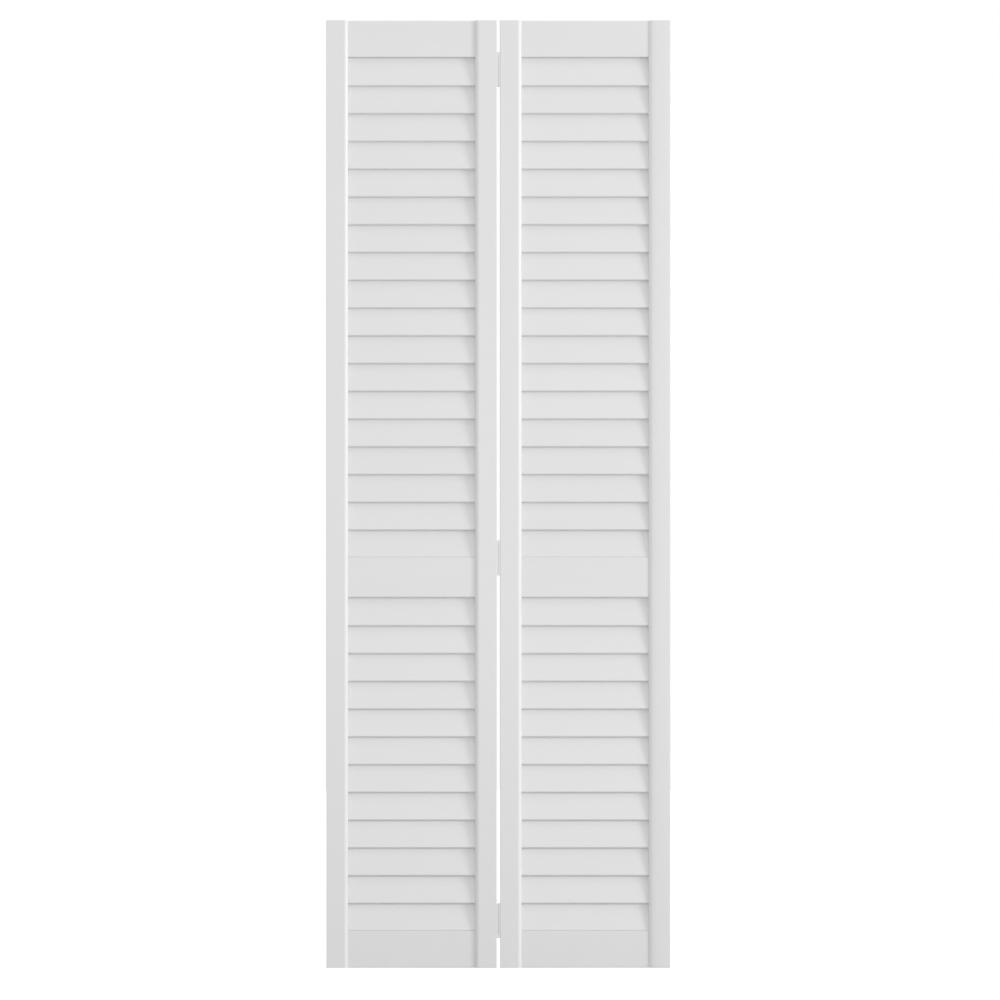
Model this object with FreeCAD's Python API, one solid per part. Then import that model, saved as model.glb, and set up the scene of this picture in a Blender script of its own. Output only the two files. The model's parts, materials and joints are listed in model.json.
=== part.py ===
import FreeCAD, Part

import math
import os

# Louvred bifold closet door: two panels of hollow vinyl extrusions over fibreboard cores, hinged together.
# The pivot panel turns on two pins close to the jamb. The lead panel follows, and a guide pin in a track
# steers its far edge.
#
# Frame: millimetres, origin on the pivot axis at the bottom of the door. +X runs along the closed door
# from the pivot side to the lead side, +Y towards the closet, so that the room side faces -Y, and +Z is up.
# Pieces on a stile are drawn in stile coordinates: x runs inwards from that edge of the panel.

Vector = FreeCAD.Vector
UP = Vector(0, 0, 1)
ALONG = Vector(1, 0, 0)
ORIGIN = Vector(0, 0, 0)

# ---- overall ----
door_height = 2000.0
panel_width = 360.0
panel_gap = 6.4
door_thickness = 28.6

# ---- stiles: two-chamber extrusions with an ovolo moulding along the opening ----
stile_width = 46.0
stile_wall = 2.0
stile_web = 1.5
edge_radius = 1.5
moulding_width = 9.0
shoulder_width = 10.0  # on the lead panel's outer stile, a slope between its face and its moulding
shoulder_drop = 1.5
slat_chamber_width = 12.1  # between the web and the wall along the opening
core_clearance = 0.2

# ---- rails ----
top_rail_height = 77.4
middle_rail_height = 82.5
bottom_rail_height = 76.0
rail_recess = 6.0  # rail faces behind stile faces, and so the depth of the moulding
rail_wall = 2.0
rail_edge_radius = 2.5
rail_lip_height = 2.5  # on the two lower rails, in front of the lowest slat's foot
rail_lip_thickness = 0.8
rail_lip_radius = 0.3
rail_end_clearance = 0.1
rail_core_end_inset = 0.2

# ---- slats ----
upper_slat_count = 18
lower_slat_count = 12
slat_thickness = 6.4
slat_overlap = 6.0  # how far a slat's top edge stands above the next one's bottom edge
slat_gap = 0.9  # open slit between two slats, for air
slat_edge_flat = 0.4  # what the rounding leaves flat on a slat's edge
slat_wall = 1.0
slat_hollows = 2  # chambers side by side across a slat
slat_end_clearance = 2.1  # slat end to web
slot_clearance = 0.25
slat_rail_clearance = 0.3
slat_headroom = 2.4  # how much more of a bank's top slat shows than of the others

# ---- dowels that join rails to stiles ----
dowel_wall = 2.1  # fibreboard in front of and behind a dowel in a rail
dowel_clearance = 0.05
dowel_end_clearance = 0.5
dowel_grip_stile = 15.0
dowel_grip_rail = 28.0
dowel_edge_distance = 11.0  # first dowel from the rail edge that faces the slats
dowel_spacing = 16.0

# ---- hinges ----
hinge_height = 76.0
hinge_top_drop = 103.0  # top of the door to the middle of the top hinge
hinge_bottom_rise = 100.0
hinge_above_rail = 1.4  # top of the middle rail to the middle of the middle hinge
leaf_gap = 0.4  # between the two leaves of a closed hinge
leaf_front_margin = 0.5
leaf_corner_radius = 2.0
barrel_inset = 5.2  # ends of the barrel inside the ends of the leaf, which tapers to them
hinge_pin_radius = 2.4
hinge_pin_running_clearance = 0.05
hinge_pin_seat_clearance = 0.02
hinge_pin_head_radius = 3.6
hinge_pin_head_height = 1.6
knuckle_wall = 2.0
knuckle_count = 5
knuckle_gap = 0.4
barrel_clearance = 0.3  # barrel behind the back face

# ---- hinge screws ----
screw_length = 16.0
screw_radius = 1.8
screw_head_radius = 3.5
screw_head_height = 1.7
screw_tip_length = 3.0
screw_clearance = 0.1
screw_tip_clearance = 0.5
screw_recess_width = 0.8
screw_recess_span = 3.6
screw_recess_depth = 1.1
screw_spread = 26.0  # outer screws above and below the middle one
screw_stagger = 4.0

# ---- pivot and guide fittings, in bores in the stile cores ----
bush_radius = 5.5
bush_press_clearance = 0.05
bush_wall = 0.9
flange_overhang = 1.5
flange_thickness = 1.5
lip_thickness = 2.0
nose_radius = 3.2
nose_clearance = 0.1
nose_chamfer = 0.8
collar_clearance = 0.1
collar_height = 6.0
pin_travel = 13.0
spring_length = 12.0  # with the pin pushed in
spring_wire_radius = 0.45
spring_turns = 6
spring_clearance = 0.2
bore_end_clearance = 0.3
roller_height = 8.0
roller_running_clearance = 0.05
roller_pocket_clearance = 0.2
roller_face_clearance = 0.2
roller_cap_radius = 2.6
roller_cap_height = 0.7
spigot_radius = 1.8
pocket_depth = 9.0
foot_bush_length = 40.0
foot_thread_radius = 4.0
foot_thread_clearance = 0.05
foot_pin_length = 37.0
foot_nose_length = 6.0
foot_slot_width = 1.2
foot_slot_depth = 1.5
pin_end_inset = 0.4  # pins pushed in stop this far short of the end of the door
spare_bore_depth = 40.0

cutter_margin = 1.0  # how far a cutter runs past what it cuts
same_place = 1e-6  # coordinates closer than this are the same

# ---- worked out ----
half_thickness = door_thickness / 2
rails_height = top_rail_height + middle_rail_height + bottom_rail_height
slat_pitch = (door_height - rails_height - 2 * slat_headroom) / (
    upper_slat_count + lower_slat_count
)
middle_rail_bottom = bottom_rail_height + lower_slat_count * slat_pitch + slat_headroom
middle_rail_top = middle_rail_bottom + middle_rail_height
top_rail_bottom = door_height - top_rail_height
opening_width = panel_width - 2 * stile_width
web_end = stile_width - stile_wall - slat_chamber_width
web_start = web_end - stile_web
core_start = stile_wall + core_clearance
core_end = web_start - core_clearance
pivot_inset = (core_start + core_end) / 2  # outer edge of a panel to the axis of its pivot or guide pin
rail_core_reach = half_thickness - rail_recess - rail_wall - core_clearance
dowel_radius = rail_core_reach - dowel_wall
slat_tilt = math.asin((slat_thickness + slat_gap) / slat_pitch)  # from the vertical, in radians
slat_width = (slat_pitch + slat_overlap - slat_thickness * math.sin(slat_tilt)) / math.cos(slat_tilt)
slat_edge_radius = (slat_thickness - slat_edge_flat) / 2
slat_hollow_radius = slat_edge_radius - slat_wall
leaf_thickness = (panel_gap - leaf_gap) / 2
barrel_height = hinge_height - 2 * barrel_inset
knuckle_radius = hinge_pin_radius + knuckle_wall
hinge_axis_x = -panel_gap / 2
hinge_axis_y = half_thickness + barrel_clearance + knuckle_radius
hinge_heights = {
    "bottom": hinge_bottom_rise,
    "middle": middle_rail_top + hinge_above_rail,
    "top": door_height - hinge_top_drop,
}
bush_bore_radius = bush_radius + bush_press_clearance
flange_radius = bush_radius + flange_overhang
chamber_radius = bush_radius - bush_wall
collar_radius = chamber_radius - collar_clearance
roller_radius = chamber_radius - roller_pocket_clearance

# A panel's left edge, the sides that its two stiles are on, and which of them has a shoulder.
PANELS = {
    "pivot": {
        "left": -pivot_inset,
        "outer": "left",
        "hinge": "right",
        "shouldered": None,
    },
    "lead": {
        "left": panel_width + panel_gap - pivot_inset,
        "outer": "right",
        "hinge": "left",
        "shouldered": "outer",
    },
}


# ---- small helpers ----
def box(low, high):
    """Box between two corners."""
    size = high - low
    return Part.makeBox(size.x, size.y, size.z, low)


def rod(radius, low, high, x=0.0, y=0.0):
    """Upright cylinder from height low to height high."""
    return Part.makeCylinder(radius, high - low, Vector(x, y, low), UP)


def lying_rod(radius, start, end, y, z):
    """Cylinder along X from start to end."""
    return Part.makeCylinder(radius, end - start, Vector(start, y, z), ALONG)


def rounded_rectangle(low, high, radius):
    """Face in the YZ plane between two (y, z) corners, with round corners."""
    y0, z0 = low
    y1, z1 = high
    slope = radius * (1 - math.sqrt(0.5))
    corners = [
        ((y0, z0 + radius), (y0 + slope, z0 + slope), (y0 + radius, z0)),
        ((y1 - radius, z0), (y1 - slope, z0 + slope), (y1, z0 + radius)),
        ((y1, z1 - radius), (y1 - slope, z1 - slope), (y1 - radius, z1)),
        ((y0 + radius, z1), (y0 + slope, z1 - slope), (y0, z1 - radius)),
    ]
    edges = []
    for index, corner in enumerate(corners):
        first, middle, last = [Vector(0, y, z) for y, z in corner]
        edges.append(Part.Arc(first, middle, last).toShape())
        following = Vector(0, *corners[(index + 1) % len(corners)][0])
        edges.append(Part.LineSegment(last, following).toShape())
    return Part.Face(Part.Wire(edges))


def on_stile(shape, panel, side):
    """Carries a shape from stile coordinates to its panel. The right stile mirrors the left one."""
    left = PANELS[panel]["left"]
    if side == "left":
        return shape.translated(Vector(left, 0, 0))
    return shape.mirror(ORIGIN, ALONG).translated(Vector(left + panel_width, 0, 0))


def on_panel(shape, panel):
    """Carries a shape whose x starts at the panel's left edge to that panel."""
    return shape.translated(Vector(PANELS[panel]["left"], 0, 0))


def save(name, solids):
    """Writes one sub-part, which may be several separate solids."""
    Part.makeCompound(solids).exportStep(f"parts/{name}.step")
    print(f"{name}: {len(solids)} solids, {sum(s.Volume for s in solids) / 1000:.1f} cm3")


# ---- stiles ----
def bent_line(start, turn, end):
    """Arc from start to end whose tangent at start points along turn."""
    chord = end - start
    swing = math.atan2(turn.cross(chord).z, turn.dot(chord))
    radius = chord.Length / (2 * math.sin(swing))
    centre = start + Vector(-turn.y, turn.x, 0) * radius
    middle = centre + (start + end - centre * 2).normalize() * abs(radius)
    return Part.Arc(start, middle, end).toShape()


def stile_outline(shoulder):
    """Face of the stile's section: square at its outer edge, moulded at the opening.

    On a stile with a shoulder the faces first slope inwards, and the moulding carries that slope on.
    """
    moulding_x = stile_width - moulding_width
    foot_y = half_thickness - rail_recess
    slope = edge_radius * (1 - math.sqrt(0.5))
    edges = []
    for sign in (-1, 1):
        corner = [
            Vector(0, sign * (half_thickness - edge_radius), 0),
            Vector(slope, sign * (half_thickness - slope), 0),
            Vector(edge_radius, sign * half_thickness, 0),
        ]
        edges.append(Part.Arc(*corner).toShape())
        shoulder_start = Vector(moulding_x, sign * half_thickness, 0)
        moulding_start = shoulder_start
        heading = ALONG
        if shoulder:
            shoulder_start = Vector(moulding_x - shoulder_width, sign * half_thickness, 0)
            moulding_start = Vector(moulding_x, sign * (half_thickness - shoulder_drop), 0)
            edges.append(Part.LineSegment(shoulder_start, moulding_start).toShape())
            heading = (moulding_start - shoulder_start).normalize()
        edges.append(Part.LineSegment(corner[2], shoulder_start).toShape())
        edges.append(bent_line(moulding_start, heading, Vector(stile_width, sign * foot_y, 0)))
    for x, y in ((0, half_thickness - edge_radius), (stile_width, foot_y)):
        edges.append(Part.LineSegment(Vector(x, -y, 0), Vector(x, y, 0)).toShape())
    return Part.Face(Part.Wire(Part.__sortEdges__(edges)))


def stile_shell(shoulder):
    """Hollow extrusion with a web between the core's chamber and the slats', in stile coordinates."""
    height = Vector(0, 0, door_height)
    outline = stile_outline(shoulder)
    hollow = outline.makeOffset2D(-stile_wall).extrude(height)
    web = box(
        Vector(web_start, -half_thickness, 0), Vector(web_end, half_thickness, door_height)
    )
    return outline.extrude(height).cut(hollow.cut(web))


def stile_core(shoulder):
    """Fibreboard bar that fills the outer chamber. The fittings' flanges lie on its ends."""
    bar = stile_outline(shoulder).makeOffset2D(-core_start)
    bar = bar.extrude(Vector(0, 0, door_height - 2 * flange_thickness))
    beyond = box(
        Vector(core_end, -half_thickness, 0), Vector(stile_width, half_thickness, door_height)
    )
    return bar.cut(beyond).translated(Vector(0, 0, flange_thickness))


# ---- rails ----
RAILS = {
    "bottom": (0.0, bottom_rail_height),
    "middle": (middle_rail_bottom, middle_rail_top),
    "top": (top_rail_bottom, door_height),
}


def rail_bar(rail, inset, end_inset, radius):
    """Bar along a rail, drawn in by inset from its faces, in panel coordinates."""
    low, high = RAILS[rail]
    reach = half_thickness - rail_recess - inset
    section = rounded_rectangle((-reach, low + inset), (reach, high - inset), radius)
    start = stile_width + end_inset
    bar = section.extrude(Vector(opening_width - 2 * end_inset, 0, 0))
    return bar.translated(Vector(start, 0, 0))


def rail_shell(rail):
    """Hollow extrusion, open at both ends, which butt against the stiles."""
    outside = rail_bar(rail, 0.0, rail_end_clearance, rail_edge_radius)
    if rail != "top":
        outside = outside.fuse(rail_lip(rail)).removeSplitter()
    hollow = rail_bar(rail, rail_wall, -rail_end_clearance, rail_edge_radius)
    return outside.cut(hollow)


def rail_lip(rail):
    """Lip that carries a rail's front up past its top and hides the foot of the slat behind it."""
    front = rail_recess - half_thickness
    top = RAILS[rail][1]
    start = stile_width + rail_end_clearance
    end = panel_width - start
    lip = box(
        Vector(start, front, top - rail_edge_radius),
        Vector(end, front + rail_lip_thickness, top + rail_lip_height),
    )
    rims = [
        edge
        for edge in lip.Edges
        if all(abs(c.Z - top - rail_lip_height) < same_place for c in edge.Vertexes)
        and abs(edge.Vertexes[0].Y - edge.Vertexes[1].Y) < same_place
    ]
    square = box(
        Vector(start, front, top - rail_edge_radius), Vector(end, front + rail_edge_radius, top)
    )
    return lip.makeFillet(rail_lip_radius, rims).fuse(square)


def rail_core(rail):
    """Fibreboard bar inside a rail."""
    end_inset = rail_end_clearance + rail_core_end_inset
    return rail_bar(rail, rail_wall + core_clearance, end_inset, rail_edge_radius)


# ---- slats ----
def lean(blade, low):
    """Leans an upright blade back, centred in the door's thickness, with its lowest line at height low."""
    blade = blade.rotated(ORIGIN, ALONG, -math.degrees(slat_tilt))
    back = -slat_width * math.sin(slat_tilt) / 2
    return blade.translated(Vector(0, back, low + slat_thickness / 2 * math.sin(slat_tilt)))


def slat_blade(low, ceiling, grow=0.0, hollow=True):
    """One slat, in panel coordinates, cut off at the ceiling. Grown, it is the cutter for its slots."""
    reach = slat_thickness / 2 + grow
    start = web_end + slat_end_clearance - grow
    span = Vector(panel_width - 2 * start, 0, 0)
    corners = ((-reach, -grow), (reach, slat_width + grow))
    section = rounded_rectangle(*corners, slat_edge_radius + grow)
    blade = section.extrude(span)
    if hollow:
        reach = slat_thickness / 2 - slat_wall
        chamber = (slat_width - slat_wall) / slat_hollows - slat_wall
        for index in range(slat_hollows):
            foot = slat_wall + index * (chamber + slat_wall)
            corners = ((-reach, foot), (reach, foot + chamber))
            blade = blade.cut(rounded_rectangle(*corners, slat_hollow_radius).extrude(span))
    blade = lean(blade, low).translated(Vector(start, 0, 0))
    top = low + slat_pitch + slat_overlap
    if top > ceiling:
        above = box(
            Vector(0, -half_thickness, ceiling + grow),
            Vector(panel_width, half_thickness, top + slat_pitch),
        )
        blade = blade.cut(above)
    return blade


def slat_bank(floor, count, **options):
    """A bank of slats that stands on the rail below and is closed by the rail above."""
    low = floor + slat_rail_clearance
    ceiling = floor + count * slat_pitch + slat_headroom - slat_rail_clearance
    return [slat_blade(low + index * slat_pitch, ceiling, **options) for index in range(count)]


# ---- dowels ----
def dowel_heights():
    """Heights of all the dowels of one stile."""
    first = dowel_edge_distance
    second = dowel_edge_distance + dowel_spacing
    middle = (middle_rail_bottom + middle_rail_top) / 2
    return [
        bottom_rail_height - second,
        bottom_rail_height - first,
        middle - dowel_spacing / 2,
        middle + dowel_spacing / 2,
        top_rail_bottom + first,
        top_rail_bottom + second,
    ]


def dowels(grow=0.0, longer=0.0):
    """Dowels of one stile, or cutters for their holes, in stile coordinates."""
    start = core_end - dowel_grip_stile - longer
    end = stile_width + rail_end_clearance + rail_core_end_inset + dowel_grip_rail + longer
    return [lying_rod(dowel_radius + grow, start, end, 0.0, z) for z in dowel_heights()]


# ---- hinges, in stile coordinates ----
def knuckle_span(index, middle, gap):
    """Lowest and highest point of a knuckle, counted from the bottom, less a gap at each inner end."""
    length = barrel_height / knuckle_count
    low = middle - barrel_height / 2 + index * length
    high = low + length
    if index > 0:
        low += gap
    if index < knuckle_count - 1:
        high -= gap
    return low, high


def screw_places(middle):
    """(y, z) of the three screws of a leaf."""
    return [
        (-screw_stagger, middle - screw_spread),
        (screw_stagger, middle),
        (-screw_stagger, middle + screw_spread),
    ]


def hinge_leaf(middle, own, bore_clearance):
    """Leaf flat on the stile's edge, with the knuckles whose numbers are in own."""
    front = leaf_front_margin - half_thickness
    low = middle - hinge_height / 2
    high = middle + hinge_height / 2
    points = [
        Vector(-leaf_thickness, front, low),
        Vector(-leaf_thickness, half_thickness, low + barrel_inset),
        Vector(-leaf_thickness, hinge_axis_y, low + barrel_inset),
        Vector(-leaf_thickness, hinge_axis_y, high - barrel_inset),
        Vector(-leaf_thickness, half_thickness, high - barrel_inset),
        Vector(-leaf_thickness, front, high),
    ]
    outline = Part.Face(Part.makePolygon(points + points[:1]))
    leaf = outline.extrude(Vector(leaf_thickness, 0, 0))
    corners = [
        edge
        for edge in leaf.Edges
        if all(abs(corner.Y - front) < same_place for corner in edge.Vertexes)
        and abs(edge.Vertexes[0].Z - edge.Vertexes[1].Z) < same_place
    ]
    leaf = leaf.makeFillet(leaf_corner_radius, corners)
    for index in range(knuckle_count):
        if index in own:
            bottom, top = knuckle_span(index, middle, knuckle_gap / 2)
            leaf = leaf.fuse(rod(knuckle_radius, bottom, top, hinge_axis_x, hinge_axis_y))
        else:
            bottom, top = knuckle_span(index, middle, -knuckle_gap / 2)
            reach = hinge_axis_y + knuckle_radius
            notch = box(
                Vector(-panel_gap, half_thickness, bottom), Vector(cutter_margin, reach, top)
            )
            leaf = leaf.cut(notch)
    bore = rod(
        hinge_pin_radius + bore_clearance,
        low - cutter_margin,
        high + cutter_margin,
        hinge_axis_x,
        hinge_axis_y,
    )
    holes = [hinge_screw_hole(y, z) for y, z in screw_places(middle)]
    return leaf.cut([bore] + holes).removeSplitter()


def hinge_screw_hole(y, z):
    """Countersunk hole through a leaf."""
    inner = -leaf_thickness
    sink = Part.makeCone(
        screw_head_radius + screw_clearance,
        screw_radius + screw_clearance,
        screw_head_height,
        Vector(inner, y, z),
        ALONG,
    )
    return sink.fuse(lying_rod(screw_radius + screw_clearance, inner, cutter_margin, y, z))


def hinge_screw(y, z):
    """Countersunk screw with a cross recess, head flush with the leaf."""
    head = Part.makeCone(
        screw_head_radius, screw_radius, screw_head_height, Vector(-leaf_thickness, y, z), ALONG
    )
    neck = screw_head_height - leaf_thickness
    point = screw_length - leaf_thickness - screw_tip_length
    shank = lying_rod(screw_radius, neck, point, y, z)
    tip = Part.makeCone(screw_radius, 0.0, screw_tip_length, Vector(point, y, z), ALONG)
    across = screw_recess_span / 2
    slim = screw_recess_width / 2
    bottom = screw_recess_depth - leaf_thickness
    recess = [
        box(Vector(-panel_gap, y - a, z - b), Vector(bottom, y + a, z + b))
        for a, b in ((across, slim), (slim, across))
    ]
    return head.fuse([shank, tip]).cut(recess).removeSplitter()


def screw_pilot_holes():
    """Cutters for the screw holes in the edge wall and the core."""
    end = screw_length - leaf_thickness + screw_tip_clearance
    return [
        lying_rod(screw_radius + screw_clearance, -cutter_margin, end, y, z)
        for middle in hinge_heights.values()
        for y, z in screw_places(middle)
    ]


def hinge_pin(middle):
    """Pin with a button head at each end."""
    low = middle - barrel_height / 2
    high = middle + barrel_height / 2
    seat = hinge_pin_seat_clearance
    shank = rod(hinge_pin_radius, low - seat, high + seat, hinge_axis_x, hinge_axis_y)
    heads = []
    for start, direction in ((high + seat, 1), (low - seat, -1)):
        button = Part.makeCone(
            hinge_pin_head_radius,
            hinge_pin_radius,
            hinge_pin_head_height,
            Vector(hinge_axis_x, hinge_axis_y, start),
            Vector(0, 0, direction),
        )
        heads.append(button)
    return shank.fuse(heads).removeSplitter()


# ---- pivot and guide fittings: the axis is X = Y = 0 and z counts up from the end of the door ----
def bush(length, hollow):
    """Flanged bush of a length, less the hollow inside it."""
    sleeve = rod(bush_radius, -length, 0.0)
    flange = rod(flange_radius, -flange_thickness, 0.0)
    return sleeve.fuse(flange).removeSplitter().cut(hollow).removeSplitter()


def spring(low):
    """Coil spring of spring_length with its lowest point at height low."""
    coil_radius = chamber_radius - spring_clearance - spring_wire_radius
    rise = spring_length - 2 * (spring_wire_radius + spring_clearance / 2)
    path = Part.makeHelix(rise / spring_turns, rise, coil_radius)
    section = Part.Wire(
        Part.Circle(Vector(coil_radius, 0, 0), Vector(0, 1, 0), spring_wire_radius).toShape()
    )
    coil = Part.Wire(path).makePipeShell([section], True, True)
    return coil.translated(Vector(0, 0, low + spring_wire_radius + spring_clearance / 2))


def nosed_rod(radius, low, high):
    """Cylinder with a chamfered upper end."""
    straight = rod(radius, low, high - nose_chamfer)
    nose = Part.makeCone(
        radius, radius - nose_chamfer, nose_chamfer, Vector(0, 0, high - nose_chamfer), UP
    )
    return straight.fuse(nose)


def sprung_bush(lip_top):
    """Bush whose lip stops the pin's collar. Its chamber is open below: the spring stands on the core."""
    lip_bottom = lip_top - lip_thickness
    length = sprung_bore_depth(lip_top) - bore_end_clearance
    chamber = rod(chamber_radius, -length, lip_bottom)
    mouth = rod(nose_radius + nose_clearance, lip_bottom, 0.0)
    hollow = chamber.fuse(mouth)
    if lip_top < 0:
        hollow = hollow.fuse(rod(chamber_radius, lip_top, 0.0))
    return bush(length, hollow)


def sprung_bore_depth(lip_top):
    """Depth of the bore, from the end of the door, for a sprung pin under a lip at that height."""
    return -lip_top + lip_thickness + pin_travel + collar_height + spring_length


def collar_top(lip_top):
    """Top of the collar with the pin pushed in."""
    return lip_top - lip_thickness - pin_travel


def top_pivot_pin():
    """Pivot pin: the nose comes out through the lip, the collar stays under it."""
    top = collar_top(0.0)
    nose = nosed_rod(nose_radius, top, -pin_end_inset)
    return nose.fuse(rod(collar_radius, top - collar_height, top)).removeSplitter()


def guide_pin():
    """Guide pin: as the pivot pin, with a spigot and a cap for the roller."""
    top = collar_top(-pocket_depth)
    shoulder = -pin_end_inset - roller_height - roller_face_clearance
    cap_bottom = -pin_end_inset - roller_cap_height
    solids = [
        rod(nose_radius, top, shoulder),
        rod(spigot_radius, shoulder, -pin_end_inset),
        rod(roller_cap_radius, cap_bottom, -pin_end_inset),
    ]
    return rod(collar_radius, top - collar_height, top).fuse(solids).removeSplitter()


def guide_roller():
    """Roller on the guide pin, with a counterbore for the cap."""
    low = -pin_end_inset - roller_height
    sink_floor = -pin_end_inset - roller_cap_height - roller_face_clearance
    wheel = rod(roller_radius, low, -pin_end_inset)
    bore = rod(spigot_radius + roller_running_clearance, low, 0.0)
    sink = rod(roller_cap_radius + roller_face_clearance, sink_floor, 0.0)
    return wheel.cut([bore, sink])


def foot_bush():
    """Bush for the bottom pivot, bored to the thread's outer size."""
    bore = rod(foot_thread_radius + foot_thread_clearance, -foot_bush_length, 0.0)
    return bush(foot_bush_length, bore)


def foot_pin():
    """Threaded bottom pivot, screwed right in, with a screwdriver slot in its nose."""
    shoulder = -pin_end_inset - foot_nose_length
    thread = rod(foot_thread_radius, -pin_end_inset - foot_pin_length, shoulder)
    nose = nosed_rod(nose_radius, shoulder, -pin_end_inset)
    slot = box(
        Vector(-foot_slot_width / 2, -nose_radius, -pin_end_inset - foot_slot_depth),
        Vector(foot_slot_width / 2, nose_radius, 0.0),
    )
    return thread.fuse(nose).cut(slot).removeSplitter()


def at_top(shape, panel):
    """Carries a fitting to the top of a panel's outer stile."""
    return shape.translated(Vector(fitting_x(panel), 0, door_height))


def at_bottom(shape, panel):
    """Turns a fitting over and carries it to the bottom of a panel's outer stile."""
    return shape.rotated(ORIGIN, ALONG, 180).translated(Vector(fitting_x(panel), 0, 0))


def fitting_x(panel):
    """X of the pivot or guide axis."""
    if PANELS[panel]["outer"] == "left":
        return PANELS[panel]["left"] + pivot_inset
    return PANELS[panel]["left"] + panel_width - pivot_inset


def fitting_bores(panel):
    """Cutters for the bores in a panel's outer core: one at the top and one at the bottom."""
    depths = {
        "pivot": (sprung_bore_depth(0.0), foot_bush_length + bore_end_clearance),
        "lead": (sprung_bore_depth(-pocket_depth), flange_thickness + spare_bore_depth),
    }
    top, bottom = [rod(bush_bore_radius, -depth, 0.0) for depth in depths[panel]]
    return [at_top(top, panel), at_bottom(bottom, panel)]


# ---- nodes ----
def build_panel(panel):
    """All the pieces of one panel apart from its hinge leaves and end fittings."""
    left = PANELS[panel]["left"]
    bank_options = {"grow": slot_clearance, "hollow": False}
    cutters = slat_bank(bottom_rail_height, lower_slat_count, **bank_options)
    cutters += slat_bank(middle_rail_top, upper_slat_count, **bank_options)
    slots = [cutter.translated(Vector(left, 0, 0)) for cutter in cutters]
    holes = dowels(dowel_clearance, dowel_end_clearance)
    for use in ("outer", "hinge"):
        side = PANELS[panel][use]
        dowel_holes = [on_stile(hole, panel, side) for hole in holes]
        shoulder = PANELS[panel]["shouldered"] == use
        shell = on_stile(stile_shell(shoulder), panel, side).cut(slots + dowel_holes)
        core = on_stile(stile_core(shoulder), panel, side).cut(dowel_holes)
        if use == "hinge":
            pilots = [on_stile(pilot, panel, side) for pilot in screw_pilot_holes()]
            shell = shell.cut(pilots)
            core = core.cut(pilots)
        else:
            core = core.cut(fitting_bores(panel))
        save(f"{panel}_{use}_stile", shell.Solids)
        save(f"{panel}_{use}_core", core.Solids)

    both_holes = [on_stile(hole, panel, side) for hole in holes for side in ("left", "right")]
    for rail in RAILS:
        save(f"{panel}_{rail}_rail", on_panel(rail_shell(rail), panel).Solids)
    cores = [on_panel(rail_core(rail), panel).cut(both_holes) for rail in RAILS]
    save(f"{panel}_rail_cores", [solid for core in cores for solid in core.Solids])
    pegs = [on_stile(peg, panel, side) for peg in dowels() for side in ("left", "right")]
    save(f"{panel}_rail_dowels", pegs)

    for bank, floor, count in (
        ("upper", middle_rail_top, upper_slat_count),
        ("lower", bottom_rail_height, lower_slat_count),
    ):
        blades = [on_panel(blade, panel) for blade in slat_bank(floor, count)]
        save(f"{panel}_{bank}_slats", [solid for blade in blades for solid in blade.Solids])


def build_hinges():
    """Three hinges. The pins are fixed in the pivot panel's knuckles and turn in the lead panel's."""
    odd = range(1, knuckle_count, 2)
    even = range(0, knuckle_count, 2)
    leaves = {
        "pivot": (even, hinge_pin_seat_clearance),
        "lead": (odd, hinge_pin_running_clearance),
    }
    for place, middle in hinge_heights.items():
        for panel, (own, clearance) in leaves.items():
            leaf = on_stile(hinge_leaf(middle, own, clearance), panel, PANELS[panel]["hinge"])
            save(f"{place}_hinge_{panel}_leaf", leaf.Solids)
        pin = on_stile(hinge_pin(middle), "pivot", PANELS["pivot"]["hinge"])
        save(f"{place}_hinge_pin", pin.Solids)
    for panel in PANELS:
        screws = [
            on_stile(hinge_screw(y, z), panel, PANELS[panel]["hinge"])
            for middle in hinge_heights.values()
            for y, z in screw_places(middle)
        ]
        save(f"{panel}_hinge_screws", [solid for screw in screws for solid in screw.Solids])


def build_fittings():
    """Sprung pivot pin and sprung guide pin at the top, threaded pivot at the bottom."""
    save("top_pivot_bush", at_top(sprung_bush(0.0), "pivot").Solids)
    save("top_pivot_pin", at_top(top_pivot_pin(), "pivot").Solids)
    save("top_pivot_spring", at_top(spring(-sprung_bore_depth(0.0)), "pivot").Solids)
    save("guide_bush", at_top(sprung_bush(-pocket_depth), "lead").Solids)
    save("guide_pin", at_top(guide_pin(), "lead").Solids)
    save("guide_roller", at_top(guide_roller(), "lead").Solids)
    save("guide_spring", at_top(spring(-sprung_bore_depth(-pocket_depth)), "lead").Solids)
    save("bottom_pivot_bush", at_bottom(foot_bush(), "pivot").Solids)
    save("bottom_pivot_pin", at_bottom(foot_pin(), "pivot").Solids)


os.makedirs("parts", exist_ok=True)
print(f"slats {slat_width:.2f} wide, lean {math.degrees(slat_tilt):.2f} degrees")
print(f"hinge axis X {PANELS['lead']['left'] + hinge_axis_x:.2f}, Y {hinge_axis_y:.2f}")
print(f"guide axis X {fitting_x('lead'):.2f}")
for name in PANELS:
    build_panel(name)
build_hinges()
build_fittings()
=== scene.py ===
# %% [markdown]
# # A louvred bifold closet door
# Two narrow white panels, joined by three hinges, close a closet. Each panel is a frame of hollow
# plastic extrusions that holds two banks of leaning slats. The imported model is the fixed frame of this
# scene: every size and place below is read from it or repeats a size of the real pieces, and nothing in
# it is moved. The work here is the look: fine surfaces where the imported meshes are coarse, and a finish
# for each piece.

import json
import math

import bmesh
import bpy
import numpy as np
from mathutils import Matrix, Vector
from mathutils.geometry import tessellate_polygon


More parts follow.
